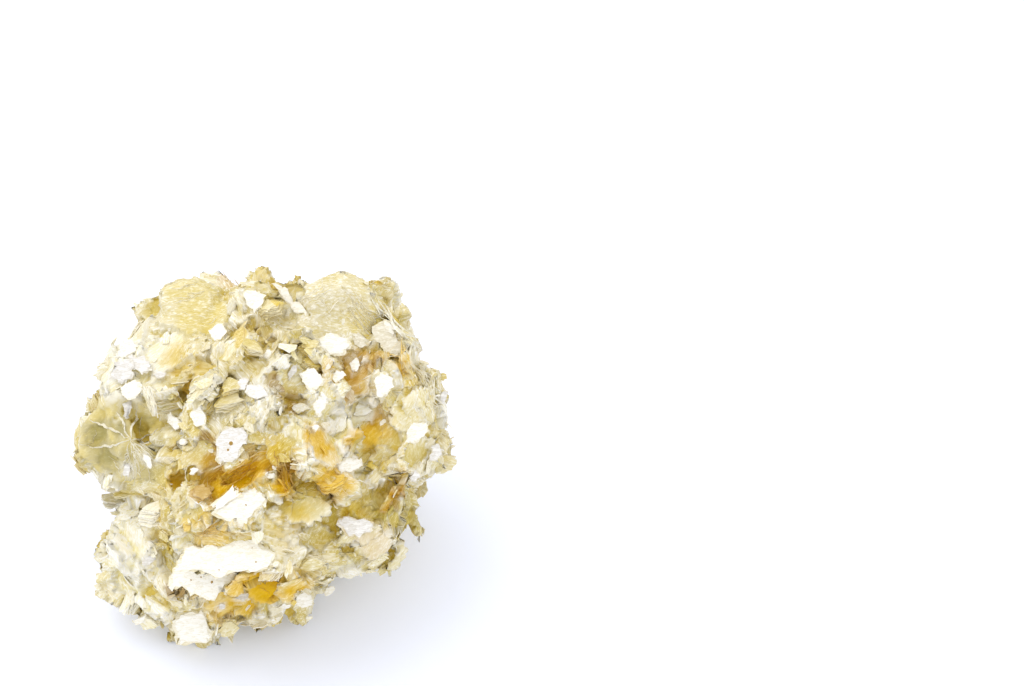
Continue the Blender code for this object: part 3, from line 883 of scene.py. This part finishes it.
BOOKS_SEEN = (  # picture place, length, width and thickness in mm, turn of the length, facing, colour, clear
    (114, 498, 4.6, 2.0, 1.3, 188, (60, 60), GREEN, True),
    (103, 503, 2.4, 1.5, 0.8, 205, (90, 50), GREY, True),
    (124, 494, 3.0, 1.2, 0.7, 180, (110, 45), OLIVE, False),
    (108, 481, 2.4, 1.6, 0.6, 100, (150, 50), WHITE, False),
    (101, 476, 2.2, 1.3, 0.5, 60, (170, 40), GREY, True),
    (300, 408, 2.6, 2.0, 0.7, 30, (80, 60), WHITE, True),
    (338, 424, 3.0, 2.6, 1.0, 60, (120, 70), WHITE, True),
    (362, 409, 2.8, 2.4, 1.0, 20, (60, 70), WHITE, True),
    (232, 306, 3.2, 1.6, 0.8, 75, (150, 40), WHITE, True),
    (392, 404, 3.8, 2.6, 1.5, 60, (30, 50), CREAM, False),
    (332, 485, 4.2, 3.0, 1.3, 20, (100, 45), GOLD, False),
    (168, 403, 4.4, 3.2, 2.2, 10, (110, 50), WHITE, False),
    (133, 509, 5.0, 3.0, 1.4, 10, (120, 50), WHITE, False),
    (152, 514, 4.8, 3.4, 2.0, 40, (110, 50), WHITE, False),
    (150, 620, 3.8, 2.6, 1.6, -30, (-120, 50), WHITE, False),
    (130, 602, 4.2, 2.8, 1.8, 60, (170, 50), WHITE, False),
    (228, 625, 4.0, 2.6, 1.6, 30, (-60, 50), CREAM, False),
    (312, 365, 3.8, 2.6, 1.7, 30, (70, 45), CREAM, False),
    (309, 346, 3.6, 2.6, 1.6, 0, (80, 50), CREAM, False),
    (272, 306, 4.0, 2.6, 1.4, 60, (100, 50), CREAM, False),
    (368, 464, 4.4, 2.8, 1.8, 20, (60, 50), CREAM, False),
    (310, 486, 3.6, 2.6, 1.7, 40, (90, 50), STRAW, False),
    (252, 346, 3.6, 2.4, 1.0, -30, (80, 40), STRAW, False),
    (212, 404, 4.0, 2.8, 1.9, 60, (120, 50), CREAM, False),
    (228, 402, 3.8, 2.6, 1.7, 20, (90, 50), CREAM, False),
    (233, 386, 3.8, 2.4, 1.7, 40, (70, 50), CREAM, False),
    (293, 346, 3.4, 2.2, 1.0, 0, (80, 40), STRAW, False),
    (390, 463, 3.8, 2.8, 2.2, 60, (40, 50), CREAM, False),
    (310, 562, 3.8, 2.6, 1.0, 10, (-80, 50), CREAM, False),
)


def seen_books(is_clear):
    """The books that stand at known places on the front, clear or pearly."""
    for px, py, length, wide, thick, turn, facing, colour, see_through in BOOKS_SEEN:
        if see_through == is_clear:
            place = on_solid(px, py) - view * 0.2 * thick
            sheets = 1 if is_clear else round(thick / BOOK_SHEET)
            book = make_book((length, wide), thick * (0.5 if is_clear else 1), sheets, bend=-0.04)
            yield lay(book, place, way_seen(*facing), way_seen(turn, 0), 0.5, stain=(colour, 0.8))


def free_books():
    """Books that carry on the crystals of the groundmass, with their sheets free."""
    for place, facing, out, lift, tone, bend, _ in crystals:
        if rng.random() > BOOKS_SHARE or beside_plate(place, 1.6) or crystal_at(place)[2] <= 0:
            continue
        length = rng.uniform(*BOOK_LENGTH)
        if abs(facing.dot(out)) > LIES_FLAT:
            thick = rng.uniform(*FLAT_THICK)
            middle = place + out * (lift * 0.5 - FLAT_SUNK)
        else:
            thick = rng.uniform(*EDGE_THICK)
            middle = place + out * (lift * 0.5 - EDGE_SUNK * length)
        if middle.z < 0.45 * length:
            continue
        size = (length, length * rng.uniform(0.6, 0.95))
        book = make_book(size, thick, max(3, round(thick / BOOK_SHEET)), bend * 0.5)
        yield lay(book, middle, facing, random_way(), tone)


show("books", [*seen_books(False), *free_books()], pearly)
# The clear ones are single glassy blocks, through which some of the mica behind them is seen.
clear = mica("clear_muscovite", rough=0.15, specular=0.6, clear=0.22, bump=0.4)
show("clear_books", seen_books(True), clear)

# ---------------------------------------------------------------------------------------------
# Flakes: single sheets that have split off and still cling to the crystals, lying on the flat
# ones and standing between the sheets of those on edge.
FLAKES = 2200
FLAKE_LENGTH = (0.7, 2.6)  # mm, least and greatest
FLAKE_THICK = (0.05, 0.12)  # mm
GLINTS = 0.3  # share of them that are small and painted nearly white, a painted glint
GLINT_SIZE = 0.55  # their size, as a share of that of the others
CLEAN = 0.35  # share of the flakes that are kept on the larger crystals of the front
FLOOR_GAP = 1.6  # mm over the floor in which nothing small is laid


def flakes():
    """Single loose sheets at places drawn from the corners of the groundmass."""
    for index in draws.choice(len(ground_places), FLAKES):
        here, out = ground_places[index], ground_ways[index]
        if here.z < FLOOR_GAP or beside_plate(here, 0.5):
            continue
        (_, facing, _, _, tone, _, mottled), _, number = crystal_at(here)
        if rng.random() > (mottled * 1.4 - 0.4) * (CLEAN if number <= 0 else 1):
            continue
        facing = ((facing or out) + astray(0.1)).normalized()
        if facing.dot(out) < 0:
            facing.negate()
        glints = rng.random() < GLINTS
        length = rng.uniform(*FLAKE_LENGTH) ** 1.5 / FLAKE_LENGTH[1] ** 0.5 + 0.4
        length *= GLINT_SIZE if glints else 1
        flat = facing.dot(out) > LIES_FLAT
        place = here + out * (0.0 if flat else rng.uniform(-0.1, 0.2) * length)
        reach = [0.5 * rng.uniform(0.55, 1.2) for _ in range(6)]
        size = (length, length * rng.uniform(0.4, 0.9))
        snapped = rng.uniform(0, math.tau), rng.uniform(0.1, 0.5)
        sheet = make_sheet(size, 1, reach, 0.0, rng.uniform(*FLAKE_THICK), rng.gauss(0, 0.08), snapped)
        # The small glinting flakes are coloured nearly white: a painted glint.
        stain = (WHITE, 0.9) if glints else None
        yield lay(sheet, place, facing, random_way(), min(tone + rng.uniform(0.0, 0.6), 1.0), stain)


show("flakes", flakes(), pearly)

# ---------------------------------------------------------------------------------------------
# Ribs and fibres: the edges of very thin sheets that stand out of the surface as white threads.
# On the glassy lobe at the left they run out from one point, and elsewhere they follow the grain.
LOBE_HEART = (130, 440)  # picture place from which the ribs of the lobe run out
LOBE_RIBS = (  # width in mm, then the picture places a rib passes after the heart
    (0.34, (126, 432), (122, 422), (117, 413)),
    (0.40, (120, 435), (110, 428), (99, 424), (90, 420)),
    (0.30, (133, 427), (136, 414), (137, 403)),
    (0.30, (141, 438), (150, 434), (157, 428)),
    (0.26, (140, 446), (150, 453), (158, 462)),
    (0.36, (118, 444), (110, 447), (99, 448), (88, 446)),
    (0.24, (127, 450), (125, 460), (120, 468)),
    (0.30, (134, 448), (141, 456), (148, 467)),
)
LOBE_THREADS = 46  # fine threads in the fan at the lower right of the lobe
SWEEPS = (  # picture places in which a bundle of long fibres starts and ends, its bow, its width in mm, count
    ((352, 292), (414, 352), 0.12, 5.0, 40),
    ((396, 330), (428, 392), 0.08, 2.8, 34),
    ((424, 366), (449, 412), 0.08, 2.4, 24),
    ((376, 310), (410, 350), 0.10, 2.4, 16),
    ((300, 300), (330, 285), 0.10, 2.0, 8),
    ((170, 300), (205, 290), 0.12, 3.0, 8),
    ((216, 480), (262, 452), 0.05, 3.0, 14),
    ((280, 450), (292, 492), 0.05, 2.4, 12),
    ((190, 536), (232, 530), -0.05, 1.6, 8),
)
THREADS = 700  # threads over the whole cluster
THREAD_WIDTH = (0.07, 0.16)  # mm, all over
FINE_WIDTH, SWEEP_WIDTH = (0.08, 0.18), (0.08, 0.2)  # mm, in the fan of the lobe and in the bundles
THREAD_LENGTH = (1.0, 3.6)  # mm
THREAD_LIFT = 0.02  # mm off the groundmass
THREAD_SECTION = ((-0.5, -0.6), (0.5, -0.6), (0.12, 0.7))  # its three corners, in widths
LOBE_PALE = 0.8  # share of white in the ribs and threads of the lobe


def thread(places, width, pale=None):
    """A rib of triangular section in mm that runs over the groundmass through some places and thins out."""
    bm, own, tint, _ = new_mesh()
    frames = []
    for index, place in enumerate(places):
        near, number, _ = nearest_ground.find(place)
        ahead = (places[min(index + 1, len(places) - 1)] - places[max(index - 1, 0)]).normalized()
        out = ground_ways[number]
        aside = ahead.cross(out).normalized()
        swell = width * (0.25 + math.sin(math.pi * (index + 0.3) / (len(places) - 0.4)))
        frames.append(Matrix((aside * swell, ahead, aside.cross(ahead) * swell)).transposed().to_4x4())
        frames[-1].translation = near + out * THREAD_LIFT
    for x, z in THREAD_SECTION:
        bm.verts.new(frames[0] @ Vector((x, 0, z)))
    bmesh.ops.contextual_create(bm, geom=bm.verts[:])
    end = bm.faces[:]
    for one, other in zip(frames, frames[1:]):
        moved = bmesh.ops.extrude_face_region(bm, geom=end, use_keep_orig=one is frames[0])["geom"]
        end = [item for item in moved if isinstance(item, bmesh.types.BMFace)]
        fresh = [item for item in moved if isinstance(item, bmesh.types.BMVert)]
        bmesh.ops.transform(bm, matrix=other @ one.inverted(), verts=fresh)
    bmesh.ops.recalc_face_normals(bm, faces=bm.faces)
    hue = tint_at(places[len(places) // 2], 0.8)
    pale = min(0.1 + hue[2] * 1.5, 0.7) if pale is None else pale
    for vert in bm.verts:
        vert[own] = vert.co
        vert[tint] = (*(hue + (white - hue) * pale), 0.4)
    return bm


def bowed(start, end, bow, steps=5):
    """Places from start to end, in picture places, bowed to one side by a share of the length."""
    (ax, ay), (bx, by) = start, end
    for index in range(steps + 1):
        along = index / steps
        lift = 4 * along * (1 - along) * bow
        px = ax + (bx - ax) * along - (by - ay) * lift
        py = ay + (by - ay) * along + (bx - ax) * lift
        yield on_solid(px, py)


def lobe_threads():
    """The ribs and the fan of the glassy lobe."""
    for width, *stops in LOBE_RIBS:
        stops = [LOBE_HEART, *stops]
        places = [on_solid(*stops[0])]
        for one, other in zip(stops, stops[1:]):
            places += list(bowed(one, other, rng.gauss(0, 0.04), 3))[1:]
        yield thread(places, width, LOBE_PALE)
    for _ in range(LOBE_THREADS):
        turn, near, far = rng.uniform(-5, 105), rng.uniform(3, 24), rng.uniform(8, 22)
        way = math.cos(math.radians(turn)), math.sin(math.radians(turn))
        start, end = ([h + w * off for h, w in zip(LOBE_HEART, way)] for off in (near, near + far))
        places = list(bowed(start, end, rng.gauss(0, 0.06)))
        yield thread(places, rng.uniform(*FINE_WIDTH), LOBE_PALE)


def sweeping_threads():
    """Bundles of long fibres: the edges of curved sheets."""
    for start, end, bow, width, count in SWEEPS:
        spread = width * PIXELS_PER_METRE * MM / 2
        for _ in range(count):
            off = rng.uniform(-spread, spread), rng.uniform(-spread, spread)
            near, far = sorted((rng.random(), rng.random()))
            one = [a + (b - a) * near * 0.6 + o for a, b, o in zip(start, end, off)]
            other = [b - (b - a) * (1 - far) * 0.6 + o for a, b, o in zip(start, end, off)]
            places = list(bowed(one, other, bow + rng.gauss(0, 0.02), 7))
            yield thread(places, rng.uniform(*SWEEP_WIDTH))


def grain_threads():
    """Threads all over, in the plane of the sheets of the crystal they lie on."""
    for index in draws.choice(len(ground_places), THREADS):
        here, out = ground_places[index], ground_ways[index]
        facing = crystal_at(here)[0][1] or random_way()
        along = facing.cross(out)
        if here.z < FLOOR_GAP or along.length < 0.3 or plate_over(here, 1.0) is not None:
            continue
        along = (along.normalized() + random_way() * 0.2).normalized()
        length, bow = rng.uniform(*THREAD_LENGTH), rng.gauss(0, 0.12)
        side = along.cross(out)
        places = [
            here + along * length * (step / 5 - 0.5) + side * length * bow * (1 - (step / 2.5 - 1) ** 2)
            for step in range(6)
        ]
        yield thread(places, rng.uniform(*THREAD_WIDTH))


show("threads", [*lobe_threads(), *sweeping_threads(), *grain_threads()], pearly)

# ---------------------------------------------------------------------------------------------
# The stage: a floor of white card that glows a little, a white room, and a broad soft lamp above,
# a little behind the cluster and to the left.
FLOOR, FLOOR_GLOW, ROOM = "#E6EAF8", "#F7FAFF", "#FCFDFF"
FLOOR_SIZE, FLOOR_ROUGH = 2.0, 0.9  # half its side in metres, and how dull the card is
GLOW_STRENGTH, ROOM_STRENGTH = 0.14, 1.17
LAMP_PLACE, LAMP_SIZE, LAMP_WATTS = Vector((-0.22, 0.09, 0.5)), 0.4, 0.8  # the first two in metres

floor_mesh = bpy.data.meshes.new("floor")
bm = bmesh.new()
bmesh.ops.create_grid(bm, x_segments=1, y_segments=1, size=FLOOR_SIZE)
bm.to_mesh(floor_mesh)
bm.free()
floor = bpy.data.objects.new("floor", floor_mesh)
bpy.context.scene.collection.objects.link(floor)
floor_mesh.materials.append(bpy.data.materials.new("white_card"))
floor_mesh.materials[0].use_nodes = True
card = floor_mesh.materials[0].node_tree.nodes["Principled BSDF"]
card.inputs["Base Color"].default_value = (*linear(FLOOR), 1)
card.inputs["Roughness"].default_value = FLOOR_ROUGH
card.inputs["Emission Color"].default_value = (*linear(FLOOR_GLOW), 1)
card.inputs["Emission Strength"].default_value = GLOW_STRENGTH

world = bpy.data.worlds.new("white_room")
bpy.context.scene.world = world
world.use_nodes = True
background = world.node_tree.nodes["Background"]
background.inputs["Color"].default_value = (*linear(ROOM), 1)
background.inputs["Strength"].default_value = ROOM_STRENGTH

lamp = bpy.data.objects.new("overhead_softbox", bpy.data.lights.new("overhead_softbox", "AREA"))
lamp.data.size, lamp.data.energy = LAMP_SIZE, LAMP_WATTS
lamp.location = LAMP_PLACE
lamp.rotation_euler = (LAMP_PLACE - MIDDLE).to_track_quat("Z", "Y").to_euler()
bpy.context.scene.collection.objects.link(lamp)
bpy.context.scene.view_settings.view_transform = "Standard"
